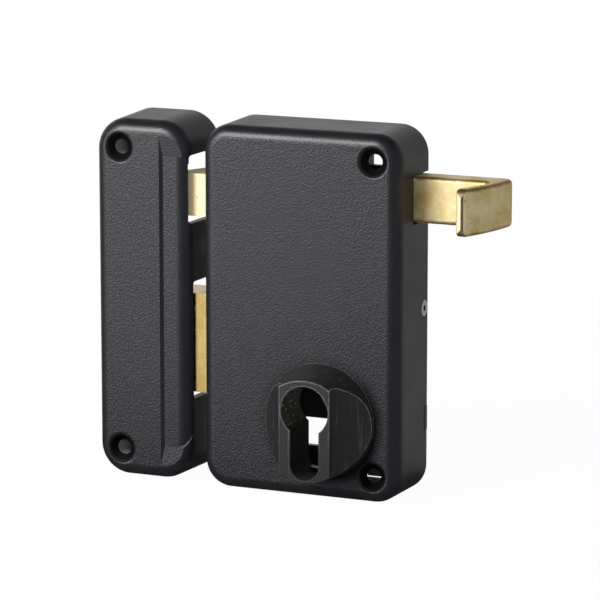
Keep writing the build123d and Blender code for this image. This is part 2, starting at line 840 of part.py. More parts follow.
def make_deadbolt_tail():
    step_x = dead_end + tail_shoulder_gap
    outline = panel(tail_left, tail_right, tail_bottom, tail_head_top)
    outline += panel(step_x, tail_right, tail_head_top, tail_top)
    outline = fillet(outline.vertices(), tail_corner)
    # guide slot on the main post
    guide_half = main_post_radius + slot_clearance
    ends = (main_post_x - dead_travel, main_post_x)
    outline -= strap((ends[0], main_post_z), guide_half, (ends[1], main_post_z), guide_half)
    # channel for the tumbler's stump, with a seat at each throw
    channel_half = stump_radius + channel_clearance
    outline -= strap((ends[0], stump_z), channel_half, (ends[1], stump_z), channel_half)
    seat_shares = (0.0, 0.5, 1.0)
    for share in seat_shares:
        x = main_post_x - dead_travel * share
        outline -= strap((x, stump_z), channel_half, (x, stump_z - stump_drop), channel_half)
    # one cam notch for each half of the throw
    notch_shares = (0.25, 0.75)
    for share in notch_shares:
        x = guard_x - dead_travel * share
        half = cam_notch_width / 2
        notch = panel(x - half, x + half, tail_bottom - cam_notch_width, cam_top + cam_notch_clear)
        notch = fillet(notch.vertices().group_by(Axis.Y)[-1], cam_notch_corner)
        outline -= notch
    for z in (dead_rivet_low, dead_rivet_high):
        outline -= disc(dead_rivet_x, z, rivet_radius)
    return sheet(outline, tail_back, tail_front)


def make_deadbolt_rivets():
    return rivet_pair(dead_rivet_x, (dead_rivet_low, dead_rivet_high), bolt_back, bolt_front)


def make_latch_lever():
    # drawn upright about its pivot, then swung to where the thrown latch holds it
    edge_x = -rivet_radius - lever_push_gap
    nose = (edge_x - lever_nose_radius, lever_arm + lever_nose_above)
    outline = strap((0, 0), lever_hub_radius, nose, lever_nose_radius)
    outline -= panel(edge_x, lever_hub_radius, lever_arm - lever_nose_height, lever_arm + lever_nose_height)
    outline += strap((0, 0), lever_hub_radius, (0, -lever_foot_length), lever_foot_radius)
    outline -= disc(0, 0, main_post_pivot_radius + pivot_clearance)
    lever = sheet(outline, lever_back, lever_front)
    return Pos(main_post_x, 0, main_post_z) * Rot(Y=-lever_swing / 2) * lever


def make_tumbler():
    pivot = (tumbler_pivot_x, tumbler_pivot_z)
    pad = (main_post_x, stump_z)
    foot_z = cam_top + tumbler_lift_gap + tumbler_foot_radius
    foot = (guard_x, foot_z)
    outline = strap(pivot, tumbler_eye_radius, pad, tumbler_pad_radius)
    outline += strap(pad, tumbler_pad_radius, foot, tumbler_foot_radius)
    outline += strap(pivot, tumbler_foot_radius, foot, tumbler_foot_radius)
    outline -= disc(*pivot, main_post_pivot_radius + pivot_clearance)
    outline -= disc(*pad, stump_radius)
    return sheet(outline, tumbler_back, tumbler_front)


def make_tumbler_stump():
    return pin_along_y(main_post_x, stump_z, stump_radius, tumbler_back, stump_end)


def make_keep_shell():
    place = Pos(keep_centre_x, 0, keep_centre_z)
    body = place * drafted_box(keep_width, keep_height, case_depth, keep_corner, keep_draft, keep_edge)
    cavity = place * drafted_box(
        keep_width - 2 * keep_wall,
        keep_height - 2 * keep_wall,
        case_depth - case_front_wall,
        keep_corner - keep_wall,
        keep_draft,
        cavity_edge,
    )
    body -= cavity
    heights = (keep_centre_z - keep_fixing_spacing / 2, keep_centre_z + keep_fixing_spacing / 2)
    for z in heights:
        body += pin_along_y(keep_fixing_x, z, keep_pillar_radius, 0, inner_front)
    for z in heights:
        body -= sunk_hole(keep_fixing_x, z, -case_depth, overrun)
    # the shallow strip beside the bolts: a soft step on its left, running out at both ends
    floor = keep_strip_depth - case_depth
    runout = Polyline(
        (-case_depth - overrun, -keep_strip_half),
        (-case_depth, -keep_strip_half),
        (floor, keep_strip_run - keep_strip_half),
        (floor + keep_strip_roll, 2 * keep_strip_run - keep_strip_half),
        (floor + keep_strip_roll, keep_strip_half - 2 * keep_strip_run),
        (floor, keep_strip_half - keep_strip_run),
        (-case_depth, keep_strip_half),
        (-case_depth - overrun, keep_strip_half),
        close=True,
    )
    side_plane = Plane(origin=(keep_strip_left, 0, keep_centre_z), x_dir=(0, 1, 0), z_dir=(1, 0, 0))
    strip = extrude(side_plane * make_face(runout.edges()), amount=keep_strip_width + overrun)
    roll_right = keep_right - keep_roll_inset
    roll_start = (roll_right - keep_strip_roll, floor)
    roll = RadiusArc(roll_start, (roll_right, floor + keep_strip_roll), -keep_strip_roll)
    step = Polyline(
        roll @ 1,
        (keep_right + overrun, floor + keep_strip_roll),
        (keep_right + overrun, -case_depth - overrun),
        (keep_strip_left, -case_depth - overrun),
        (keep_strip_left, -case_depth),
        (keep_strip_left + keep_strip_slope, floor),
        roll @ 0,
    )
    step_plane = Plane.XY.offset(keep_centre_z)
    body -= strip & extrude(step_plane * make_face([roll] + step.edges()), amount=keep_strip_half, both=True)
    for bottom, top, reach in (
        (keep_latch_notch_bottom, keep_latch_notch_top, keep_latch_notch_reach),
        (keep_dead_notch_bottom, keep_dead_notch_top, keep_dead_notch_reach),
    ):
        x0 = keep_right - 2 * keep_wall
        notch = box_between(x0, keep_right + overrun, overrun, -reach, bottom, top)
        corners = notch.edges().filter_by(Axis.X).group_by(Axis.Y)[0]
        body -= fillet(corners, keep_notch_corner)
    return body


pieces = {
    "case_cover": make_case_cover,
    "back_plate": make_back_plate,
    "side_screws": make_side_screws,
    "cylinder_guard": make_cylinder_guard,
    "guard_clamp": make_guard_clamp,
    "guard_screws": make_guard_screws,
    "latch_bolt": make_latch_bolt,
    "latch_bar": make_latch_bar,
    "latch_rivets": make_latch_rivets,
    "pull_handle": make_pull_handle,
    "handle_rivets": make_handle_rivets,
    "lever_pin": make_lever_pin,
    "latch_guide_post": make_guide_post,
    "latch_spring": make_latch_spring,
    "latch_rod": make_latch_rod,
    "main_post": make_main_post,
    "lever_washer": make_lever_washer,
    "latch_lever": make_latch_lever,
    "post_clips": make_post_clips,
    "deadbolt_head": make_deadbolt_head,
    "deadbolt_tail": make_deadbolt_tail,
    "deadbolt_rivets": make_deadbolt_rivets,
    "tumbler": make_tumbler,
    "tumbler_stump": make_tumbler_stump,
    "tumbler_pivot": make_tumbler_pivot,
    "tumbler_spring": make_tumbler_spring,
    "keep_shell": make_keep_shell,
}

for node, make in pieces.items():
    export_step(make(), f"parts/{node}.step")
    print(node)
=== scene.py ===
import bpy
import json
import math
from mathutils import Matrix, Vector


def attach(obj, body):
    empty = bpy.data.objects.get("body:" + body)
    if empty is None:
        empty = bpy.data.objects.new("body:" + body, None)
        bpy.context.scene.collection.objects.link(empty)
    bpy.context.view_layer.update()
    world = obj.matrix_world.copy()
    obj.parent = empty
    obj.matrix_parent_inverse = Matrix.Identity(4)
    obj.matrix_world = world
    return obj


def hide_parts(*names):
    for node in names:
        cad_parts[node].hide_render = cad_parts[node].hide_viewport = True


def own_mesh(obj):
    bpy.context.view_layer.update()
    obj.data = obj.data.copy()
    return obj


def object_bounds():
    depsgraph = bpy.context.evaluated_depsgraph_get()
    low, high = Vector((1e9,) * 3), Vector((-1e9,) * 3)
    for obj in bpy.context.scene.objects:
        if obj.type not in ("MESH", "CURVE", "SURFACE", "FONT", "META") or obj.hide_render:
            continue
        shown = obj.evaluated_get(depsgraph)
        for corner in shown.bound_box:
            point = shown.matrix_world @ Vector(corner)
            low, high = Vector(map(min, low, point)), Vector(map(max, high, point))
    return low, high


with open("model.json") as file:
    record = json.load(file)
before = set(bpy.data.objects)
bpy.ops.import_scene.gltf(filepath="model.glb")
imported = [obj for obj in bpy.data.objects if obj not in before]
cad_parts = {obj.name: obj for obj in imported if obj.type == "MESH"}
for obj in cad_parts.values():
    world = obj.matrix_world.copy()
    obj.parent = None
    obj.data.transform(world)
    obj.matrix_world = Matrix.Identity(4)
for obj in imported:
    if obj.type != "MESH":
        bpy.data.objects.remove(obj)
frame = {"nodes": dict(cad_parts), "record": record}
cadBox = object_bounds()
nodes = frame["nodes"]
slotOf = {part["node"]: part["material_slot"] for part in frame["record"]["subparts"]}
print("lock loaded:", len(nodes), "nodes")

camera = {
    "azimuth": 23.49,        # degrees to the right of straight on
    "elevation": 11.24,
    "place": (0.47106, -1.10896, 0.24005),
    "lens": 209.22,          # mm on a sensor of the width below
    "sensor": 36,
    "clip": (0.01, 50),
}


def aimed(place, back):
    # a matrix whose -Z looks against back
    back = Vector(back).normalized()
    right = Vector((0, 0, 1)).cross(back).normalized()
    axes = Matrix((right, back.cross(right), back)).transposed().to_4x4()
    axes.translation = Vector(place)
    return axes


def addCamera():
    turn = math.radians(camera["azimuth"])
    rise = math.radians(camera["elevation"])
    back = (math.sin(turn) * math.cos(rise), -math.cos(turn) * math.cos(rise), math.sin(rise))
    data = bpy.data.cameras.new("lockCamera")
    data.sensor_width = camera["sensor"]
    data.lens = camera["lens"]
    data.clip_start, data.clip_end = camera["clip"]
    eye = bpy.data.objects.new("lockCamera", data)
    eye.matrix_world = aimed(camera["place"], back)
    bpy.context.scene.collection.objects.link(eye)
    bpy.context.scene.camera = eye


addCamera()
print("camera placed")


# small helpers for node trees
class Tree:
    def __init__(self, tree):
        self.tree = tree

    def feed(self, socket, value):
        if isinstance(value, bpy.types.NodeSocket):
            self.tree.links.new(value, socket)
        else:
            socket.default_value = value

    def feedNamed(self, made, inputs):
        for name, value in inputs.items():
            self.feed(made.inputs[name.replace("_", " ")], value)
        return made

    def feedInOrder(self, made, values):
        for socket, value in zip(made.inputs, values):
            self.feed(socket, value)
        return made

    def add(self, kind, settings=None, **inputs):
        made = self.tree.nodes.new("ShaderNode" + kind)
        for name, value in (settings or {}).items():
            setattr(made, name, value)
        return self.feedNamed(made, inputs)

    def group(self, source, **inputs):
        made = self.tree.nodes.new("ShaderNodeGroup")
        made.node_tree = source
        return self.feedNamed(made, inputs).outputs

    def maths(self, operation, a, b=0.0, c=0.0, clamp=False):
        made = self.add("Math", {"operation": operation, "use_clamp": clamp})
        return self.feedInOrder(made, (a, b, c)).outputs[0]

    def times(self, first, *others):
        for other in others:
            first = self.maths("MULTIPLY", first, other)
        return first

    def inverted(self, value):
        return self.maths("SUBTRACT", 1.0, value)

    def ranged(self, value, low, high, toLow=0.0, toHigh=1.0):
        made = self.add("MapRange", {"interpolation_type": "SMOOTHSTEP"})
        return self.feedInOrder(made, (value, low, high, toLow, toHigh)).outputs[0]

    def mixed(self, share, first, second):
        made = self.add("Mix", {"data_type": "RGBA", "clamp_factor": True})
        for index, value in ((0, share), (6, first), (7, second)):
            self.feed(made.inputs[index], value)
        return made.outputs[2]

    def vectors(self, operation, a, b=(0.0, 0.0, 0.0)):
        made = self.add("VectorMath", {"operation": operation})
        return self.feedInOrder(made, (a, b)).outputs

    def length(self, vector):
        return self.vectors("LENGTH", vector)["Value"]

    def flatLength(self, x, y):
        return self.length(self.add("CombineXYZ", X=x, Y=y).outputs[0])

    def split(self, vector):
        return self.add("SeparateXYZ", Vector=vector).outputs

    def noise(self, place, scale, detail=2.0, roughness=0.5):
        made = self.add("TexNoise", Vector=place, Scale=scale, Detail=detail, Roughness=roughness)
        return made.outputs[0]


number, vector = "NodeSocketFloat", "NodeSocketVector"


def newGroup(name, inputs, outputs):
    tree = bpy.data.node_groups.new(name, "ShaderNodeTree")
    for socket, kind, value in inputs:
        made = tree.interface.new_socket(socket, in_out="INPUT", socket_type=kind)
        if value is not None:
            made.default_value = value
    for socket in outputs:
        tree.interface.new_socket(socket, in_out="OUTPUT", socket_type=number)
    start = tree.nodes.new("NodeGroupInput").outputs
    end = tree.nodes.new("NodeGroupOutput").inputs
    return Tree(tree), start, end


pebbles = {
    "bendScale": 600.0,           # per metre
    "bendReach": 0.0012,          # metres by which the lumps are pushed out of line
    "softness": 0.7,
    "finer": 1.9,                 # how much finer the crumble is than the lumps
    "lumpEdge": (0.05, 0.75),
    "fleck": (0.75, 1.25),        # heights between which a lump's top turns paler
}


def makePebbleGrain():
    # the wrinkled skin of thick powder paint: soft lumps with a finer crumble on them
    t, start, end = newGroup(
        "pebbleGrain",
        [("Place", vector, None), ("Lumps", number, 1000.0), ("Crumble", number, 0.35)],
        ["Height", "Fleck"],
    )
    bend = t.add("TexNoise", Vector=start["Place"], Scale=pebbles["bendScale"], Detail=1.0)
    push = t.vectors("MULTIPLY", bend.outputs["Color"], (pebbles["bendReach"],) * 3)[0]
    moved = t.vectors("ADD", start["Place"], push)[0]
    lumps = t.add(
        "TexVoronoi", {"feature": "SMOOTH_F1"},
        Vector=moved, Scale=start["Lumps"], Smoothness=pebbles["softness"],
    )
    finer = t.noise(moved, t.times(start["Lumps"], pebbles["finer"]), 2.0, 0.6)
    bump = t.ranged(lumps.outputs["Distance"], *pebbles["lumpEdge"], 1.0, 0.0)
    height = t.maths("MULTIPLY_ADD", finer, start["Crumble"], bump)
    t.feed(end["Height"], height)
    t.feed(end["Fleck"], t.ranged(height, *pebbles["fleck"]))
    return t.tree


wear = {
    "samples": 4,
    "turned": (0.997, 0.95),      # cosines between which an edge counts as sharp
    "patchy": (0.30, 0.58),
}


def makeEdgeWear():
    # where a rounded normal leaves the real one, broken up by noise
    t, start, end = newGroup(
        "edgeWear",
        [("Place", vector, None), ("Reach", number, 0.0006), ("Patches", number, 300.0)],
        ["Mask"],
    )
    soft = t.add("Bevel", {"samples": wear["samples"]}, Radius=start["Reach"]).outputs[0]
    real = t.add("NewGeometry").outputs["Normal"]
    sharp = t.ranged(t.vectors("DOT_PRODUCT", soft, real)["Value"], *wear["turned"])
    patches = t.noise(start["Place"], start["Patches"], 3.0, 0.6)
    t.feed(end["Mask"], t.times(sharp, t.ranged(patches, *wear["patchy"])))
    return t.tree


scratches = {
    "fewest": 0.72,               # noise level at which marks begin when Amount is 0
    "perAmount": 0.25,
    "edge": 0.12,
}


def makeFineScratches():
    # long thin marks along one direction; Stretch squeezes the other two
    t, start, end = newGroup(
        "fineScratches",
        [("Place", vector, None), ("Stretch", vector, None), ("Amount", number, 0.5)],
        ["Mask"],
    )
    squeezed = t.vectors("MULTIPLY", start["Place"], start["Stretch"])[0]
    lines = t.noise(squeezed, 1.0, 4.0, 0.65)
    low = t.maths("SUBTRACT", scratches["fewest"], t.times(start["Amount"], scratches["perAmount"]))
    t.feed(end["Mask"], t.ranged(lines, low, t.maths("ADD", low, scratches["edge"])))
    return t.tree


castPits = {
    "largest": 0.32,              # radius beside the spacing
    "edge": 0.10,
}


def makeSmallPits():
    # scattered round pits of many sizes, as in sand-cast brass
    t, start, end = newGroup(
        "smallPits",
        [("Place", vector, None), ("Spread", number, 700.0), ("Share", number, 0.3)],
        ["Mask", "Height"],
    )
    cells = t.add("TexVoronoi", {"feature": "F1"}, Vector=start["Place"], Scale=start["Spread"])
    lot = t.add("SeparateColor", Color=cells.outputs["Color"]).outputs[0]
    size = t.times(t.ranged(lot, t.inverted(start["Share"]), 1.0), castPits["largest"])
    mask = t.ranged(t.maths("SUBTRACT", size, cells.outputs["Distance"]), 0.0, castPits["edge"])
    t.feed(end["Mask"], mask)
    t.feed(end["Height"], t.inverted(mask))
    return t.tree


pebbleGrain = makePebbleGrain()
edgeWear = makeEdgeWear()
fineScratches = makeFineScratches()
smallPits = makeSmallPits()
print("shared effects made")


def newMaterial(name, **fixed):
    material = bpy.data.materials.new(name)
    material.use_nodes = True
    t = Tree(material.node_tree)
    shader = material.node_tree.nodes["Principled BSDF"]
    for socket, value in fixed.items():
        shader.inputs[socket.replace("_", " ")].default_value = value
    place = t.add("TexCoord").outputs["Object"]
    return material, t, shader, place


def finished(material, t, shader, colour, roughness, height, distance):
    t.feed(shader.inputs["Base Color"], colour)
    t.feed(shader.inputs["Roughness"], roughness)
    relief = t.add("Bump", Height=height, Distance=distance, Strength=1.0)
    t.feed(shader.inputs["Normal"], relief.outputs[0])
    return material


def facing(t, low, high):
    # 1 where the surface looks straight forward, at -Y
    sides = t.split(t.add("TexCoord").outputs["Normal"])
    return t.ranged(t.times(sides[1], -1.0), low, high)


midNoise = (0.3, 0.7)             # the range that most of a noise lies in
notForward = (0.3, 0.6)           # faces turned further than this aren't the front

blackPaint = {
    "colour": (0.0080, 0.0082, 0.0110, 1),
    "paler": (0.016, 0.0165, 0.0205, 1),
    "paleShares": (0.6, 0.4),              # of the grain's tops, and of the clouds
    "worn": (0.06, 0.06, 0.064, 1),
    "wornShare": 0.15,
    "wear": (0.0007, 500.0),               # reach in metres, and patches per metre
    "clouds": 45.0,
    "lumps": 1700.0,                       # per metre
    "crumble": 0.25,
    "depth": 0.000068,
    "sideDepth": 0.25,                     # share of the depth on faces that look sideways
    "forward": (0.96, 0.9995),
    "roughness": (0.35, 0.41),
    "rougherFront": 0.05,
    "rougherHole": 0.3,
    "caseHoles": (0.0273, 0.0, 0.0550),    # x, middle height and half spacing of the two screw holes
    "keepHoles": (-0.0688, 0.00035, 0.0542),
    "recess": (0.0045, 0.0049),            # radius over which a screw hole's painted shade ends
    "recessColour": (0.002, 0.002, 0.002, 1),
    "recessShares": (0.7, 0.85),           # of that colour, and of the gloss that it takes away
    "lip": (0.0047, 0.0060),               # radius over which the lip of a screw hole rounds over
    "lipHeight": 5.0,                      # beside the grain's own height of about 1
    "boreRadius": 0.0027,
    "borePaintedLight": (0.17, 0.17, 0.17, 1),     # paler grey painted inside the keep's two bores, as painted light on their walls
    "guardCentre": (0.0079, -0.0367),
    "guardShadow": (0.0203, 0.0250),             # radius over which the painted shadow round the guard fades
    "guardShadowLean": (-0.005, 0.020, 0.25, 0.85),   # the ring's strength grows from high left to low right
    "guardShadowForward": (0.6, 0.9),
}


def paintMaterial():
    material, t, shader, place = newMaterial("blackPaint", IOR=1.5)
    lumps, crumble = blackPaint["lumps"], blackPaint["crumble"]
    grain = t.group(pebbleGrain, Place=place, Lumps=lumps, Crumble=crumble)
    front = facing(t, *blackPaint["forward"])
    clouds = t.noise(place, blackPaint["clouds"], 3.0, 0.6)
    reach, patches = blackPaint["wear"]
    worn = t.group(edgeWear, Place=place, Reach=reach, Patches=patches)["Mask"]
    ofTops, ofClouds = blackPaint["paleShares"]
    tone = t.maths("MULTIPLY_ADD", grain["Fleck"], t.times(front, ofTops), t.times(clouds, ofClouds))
    colour = t.mixed(tone, blackPaint["colour"], blackPaint["paler"])
    colour = t.mixed(t.times(worn, blackPaint["wornShare"]), colour, blackPaint["worn"])
    axes = t.split(place)

    def fromHoles(x, middle, half):
        up = t.maths("ABSOLUTE", t.maths("SUBTRACT", axes[2], middle))
        return t.flatLength(t.maths("SUBTRACT", axes[0], x), t.maths("SUBTRACT", up, half))

    # painted shade: inside the screw holes the paint is darkened and loses its gloss, and round them it
    # rolls over a soft lip
    fromCase, fromKeep = fromHoles(*blackPaint["caseHoles"]), fromHoles(*blackPaint["keepHoles"])
    holes = (fromCase, fromKeep)
    inHole = t.maths("ADD", *(t.ranged(away, *blackPaint["recess"], 1.0, 0.0) for away in holes))
    lips = t.times(*(t.ranged(away, *blackPaint["lip"]) for away in holes))
    ofColour, ofGloss = blackPaint["recessShares"]
    colour = t.mixed(t.times(inHole, ofColour), colour, blackPaint["recessColour"])
    # painted light: the walls of the keep's two bores are painted a paler grey for the light they catch
    inBore = t.maths("LESS_THAN", fromKeep, blackPaint["boreRadius"])
    inBore = t.times(inBore, t.inverted(facing(t, *notForward)))
    colour = t.mixed(inBore, colour, blackPaint["borePaintedLight"])
    # painted shade: Metallic on the near-black paint takes the holes' gloss away, except in the keep's
    # bores
    holeShade = t.maths("MULTIPLY", inHole, t.maths("SUBTRACT", ofGloss, inBore), clamp=True)
    # painted shadow: a dull dark ring on the paint round the guard, most of it low on the right, where the
    # guard's shade falls
    beside = t.maths("SUBTRACT", axes[0], blackPaint["guardCentre"][0])
    below = t.maths("SUBTRACT", blackPaint["guardCentre"][1], axes[2])
    ring = t.ranged(t.flatLength(beside, below), *blackPaint["guardShadow"], 1.0, 0.0)
    lean = t.ranged(t.maths("ADD", beside, below), *blackPaint["guardShadowLean"])
    guardShadow = t.times(ring, lean, facing(t, *blackPaint["guardShadowForward"]))
    t.feed(shader.inputs["Metallic"], t.maths("MAXIMUM", holeShade, guardShadow))
    rough = t.ranged(clouds, *midNoise, *blackPaint["roughness"])
    rough = t.maths("MULTIPLY_ADD", front, blackPaint["rougherFront"], rough)
    rough = t.maths("MULTIPLY_ADD", inHole, blackPaint["rougherHole"], rough)
    share = t.ranged(front, 0.0, 1.0, blackPaint["sideDepth"], 1.0)
    height = t.maths("MULTIPLY_ADD", lips, blackPaint["lipHeight"], t.times(grain["Height"], share))
    return finished(material, t, shader, colour, rough, height, blackPaint["depth"])


guardBlack = {
    "colour": (0.014, 0.014, 0.015, 1),
    "paler": (0.058, 0.058, 0.060, 1),
    "streakShare": 0.6,
    "streaks": (700.0, 700.0, 40.0),
    "streakAmount": 0.6,
    "worn": (0.26, 0.26, 0.27, 1),
    "wear": (0.0006, 1500.0),
    "wearAndHighlight": (-0.055, -0.020, 0.12, 0.75),   # pale edge wear grows from the foot to the top, where it also paints the highlight on the top edges
    # painted shade: the darker black inside the keyhole
    "bore": (0.004, 0.004, 0.0035, 1),
    "boreMark": (0.40, 0.345, 0.24, 1),
    "marks": (900.0, 350.0, 1700.0),
    "markAmount": 0.62,
    "markShares": (0.75, 0.06),               # of the marks, and of the bore between them
    "boreCentre": (0.0079, -0.0307),          # x and z of the round
    "boreRadius": (0.0089, 0.0093),
    "boreFoot": (-0.0553, -0.0549),
    "roundFoot": (-0.0375, -0.0355),
    "lumps": 1900.0,
    "crumble": 0.5,
    "depth": 0.00003,
    "roughness": (0.5, 1.3, 0.38, 0.48),      # from the hollows of the grain to its tops
    "rougherStreak": 0.08,
    "rougherBore": 0.4,
}


def guardMaterial():
    material, t, shader, place = newMaterial("guardBlack", IOR=1.43)
    lumps, crumble = guardBlack["lumps"], guardBlack["crumble"]
    grain = t.group(pebbleGrain, Place=place, Lumps=lumps, Crumble=crumble)["Height"]
    reach, patches = guardBlack["wear"]
    worn = t.group(edgeWear, Place=place, Reach=reach, Patches=patches)["Mask"]

    def lines(stretch, amount):
        made = t.group(fineScratches, Place=place, Stretch=guardBlack[stretch], Amount=guardBlack[amount])
        return made["Mask"]

    marks, streaks = lines("marks", "markAmount"), lines("streaks", "streakAmount")
    # inside the keyhole, measured from the round's centre above it and from the slot's middle below, the
    # black is painted darker as painted shade
    axes = t.split(place)
    middle, level = guardBlack["boreCentre"]
    across = t.maths("SUBTRACT", axes[0], middle)
    upward = t.maths("MAXIMUM", t.maths("SUBTRACT", axes[2], level), 0.0)
    inside = t.ranged(t.flatLength(across, upward), *guardBlack["boreRadius"], 1.0, 0.0)
    inside = t.times(inside, t.ranged(axes[2], *guardBlack["boreFoot"]), t.inverted(facing(t, *notForward)))
    inRound = t.times(inside, t.ranged(axes[2], *guardBlack["roundFoot"]))
    scratched = t.maths("MULTIPLY_ADD", marks, *guardBlack["markShares"])
    # partly wear and partly a painted highlight: pale grey on the edges, strongest along the top
    wearAndHighlight = t.times(worn, t.ranged(axes[2], *guardBlack["wearAndHighlight"]), t.inverted(inside))
    colour = t.mixed(t.times(streaks, guardBlack["streakShare"]), guardBlack["colour"], guardBlack["paler"])
    colour = t.mixed(inside, colour, guardBlack["bore"])
    colour = t.mixed(t.times(inRound, scratched), colour, guardBlack["boreMark"])
    colour = t.mixed(wearAndHighlight, colour, guardBlack["worn"])
    rough = t.ranged(grain, *guardBlack["roughness"])
    rough = t.maths("MULTIPLY_ADD", streaks, guardBlack["rougherStreak"], rough)
    rough = t.maths("MULTIPLY_ADD", inside, guardBlack["rougherBore"], rough)
    return finished(material, t, shader, colour, rough, grain, guardBlack["depth"])


plateBlack = {
    "dark": (0.012, 0.012, 0.013, 1),
    "light": (0.022, 0.022, 0.023, 1),
    "worn": (0.12, 0.12, 0.12, 1),
    "wornShare": 0.5,
    "wear": (0.0004, 700.0),
    "clouds": 70.0,
    "marks": (90.0, 900.0, 900.0),
    "roughness": (0.36, 0.5),
    "depth": 0.00001,
}


def plateMaterial():
    material, t, shader, place = newMaterial("plateBlack", IOR=1.5)
    marks = t.group(fineScratches, Place=place, Stretch=plateBlack["marks"], Amount=0.4)["Mask"]
    reach, patches = plateBlack["wear"]
    worn = t.group(edgeWear, Place=place, Reach=reach, Patches=patches)["Mask"]
    colour = t.mixed(t.noise(place, plateBlack["clouds"], 3.0), plateBlack["dark"], plateBlack["light"])
    colour = t.mixed(t.times(worn, plateBlack["wornShare"]), colour, plateBlack["worn"])
    rough = t.ranged(marks, 0.0, 1.0, *plateBlack["roughness"])
    return finished(material, t, shader, colour, rough, marks, plateBlack["depth"])


zincPlating = {
    "dark": (0.42, 0.43, 0.45, 1),
    "light": (0.62, 0.63, 0.65, 1),
    "worn": (0.80, 0.80, 0.82, 1),
    "wornShare": 0.6,
    "wear": (0.0003, 900.0),
    "clouds": 350.0,
    "marks": (160.0, 1100.0, 1100.0),
    "roughness": (0.26, 0.40),
    "rougherMark": 0.12,
    "depth": 0.00001,
}


def zincMaterial():
    material, t, shader, place = newMaterial("zinc", Metallic=1.0)
    marks = t.group(fineScratches, Place=place, Stretch=zincPlating["marks"], Amount=0.5)["Mask"]
    clouds = t.noise(place, zincPlating["clouds"], 4.0, 0.6)
    reach, patches = zincPlating["wear"]
    worn = t.group(edgeWear, Place=place, Reach=reach, Patches=patches)["Mask"]
    colour = t.mixed(clouds, zincPlating["dark"], zincPlating["light"])
    colour = t.mixed(t.times(worn, zincPlating["wornShare"]), colour, zincPlating["worn"])
    rough = t.ranged(clouds, *midNoise, *zincPlating["roughness"])
    rough = t.maths("MULTIPLY_ADD", marks, zincPlating["rougherMark"], rough)
    return finished(material, t, shader, colour, rough, marks, zincPlating["depth"])


springSteel = {
    "dark": (0.15, 0.15, 0.16, 1),
    "light": (0.30, 0.30, 0.32, 1),
    "clouds": 900.0,
    "roughness": (0.25, 0.42),
    "depth": 0.00001,
}


def springMaterial():
    material, t, shader, place = newMaterial("springSteel", Metallic=1.0)
    clouds = t.noise(place, springSteel["clouds"], 3.0)
    colour = t.mixed(clouds, springSteel["dark"], springSteel["light"])
    rough = t.ranged(clouds, *midNoise, *springSteel["roughness"])
    return finished(material, t, shader, colour, rough, clouds, springSteel["depth"])


boltBars = {
    "lines": (900.0, 900.0, 60.0),
    "lineAmount": 0.7,
    "lineShare": 0.25,
    "specks": 900.0,
    "speckColour": (0.10, 0.07, 0.03, 1),
    "speckShares": (0.10, 0.7),            # how many, and how dark
    "clouds": 160.0,
    "wear": (0.0004, 600.0),
    "wornShare": 0.4,
    "patchRougher": 0.10,
    "rougherLine": 0.10,
    "lineDepth": 0.2,
    "depth": 0.00003,
}
deadBrass = {
    "dark": (0.42, 0.28, 0.08, 1),
    "light": (0.72, 0.55, 0.24, 1),
    "roughness": 0.20,
}
latchBrass = {
    "dark": (0.86, 0.68, 0.40, 1),
    "light": (0.95, 0.79, 0.49, 1),
    "roughness": 0.55,
}


def boltMaterial(name, brass, metal):
    # drawn bar brass: long faint lines, small dark specks, dull patches
    material, t, shader, place = newMaterial(name, Metallic=metal)
    stretch, amount = boltBars["lines"], boltBars["lineAmount"]
    lines = t.group(fineScratches, Place=place, Stretch=stretch, Amount=amount)["Mask"]
    howMany, howDark = boltBars["speckShares"]
    specks = t.group(smallPits, Place=place, Spread=boltBars["specks"], Share=howMany)
    clouds = t.noise(place, boltBars["clouds"], 4.0, 0.6)
    reach, patches = boltBars["wear"]
    worn = t.group(edgeWear, Place=place, Reach=reach, Patches=patches)["Mask"]
    colour = t.mixed(clouds, brass["dark"], brass["light"])
    colour = t.mixed(t.times(lines, boltBars["lineShare"]), colour, brass["dark"])
    colour = t.mixed(t.times(specks["Mask"], howDark), colour, boltBars["speckColour"])
    colour = t.mixed(t.times(worn, boltBars["wornShare"]), colour, brass["light"])
    shiniest = brass["roughness"]
    rough = t.ranged(clouds, *midNoise, shiniest, shiniest + boltBars["patchRougher"])
    rough = t.maths("MULTIPLY_ADD", lines, boltBars["rougherLine"], rough)
    relief = t.maths("SUBTRACT", specks["Height"], t.times(lines, boltBars["lineDepth"]))
    return finished(material, t, shader, colour, rough, relief, boltBars["depth"])


handleBrass = {
    "dark": (0.71, 0.53, 0.20, 1),
    "light": (0.96, 0.83, 0.54, 1),
    "brown": (0.20, 0.105, 0.03, 1),
    "edgeLine": (0.05, 0.028, 0.01, 1),
    "patches": 110.0,
    "patchEdge": (0.32, 0.68),
    "dents": 420.0,
    "fine": 2200.0,
    "pits": (700.0, 0.18),                 # per metre, and the share that show
    "pitShare": 0.75,
    "middle": 0.04065,                     # height of the handle's middle
    "rims": (0.0066, 0.0077),              # where the brown of the rims begins and ends, from the middle
    "rimWander": 0.0012,
    "rimShare": 0.85,
    "levelFaces": (0.75, 0.97),            # faces that look up or down stay free of it
    "lineTurn": (-0.14, 0.04, 0.42, 0.60),   # the corner's turn to the right, where the dark line lies
    "lineForward": (-0.35, -0.15),
    "lineShare": 0.9,
    "tip": (-0.0250, -0.0270),
    "heel": (0.0640, 0.0705),              # the grip is duller toward its heel
    "heelShare": 0.30,
    "roughness": (0.40, 0.54),
    "rougherFine": 0.10,
    "reliefs": (1.2, 0.25),                # of the dents and of the fine grain, beside the pits
    "depth": 0.00006,
}


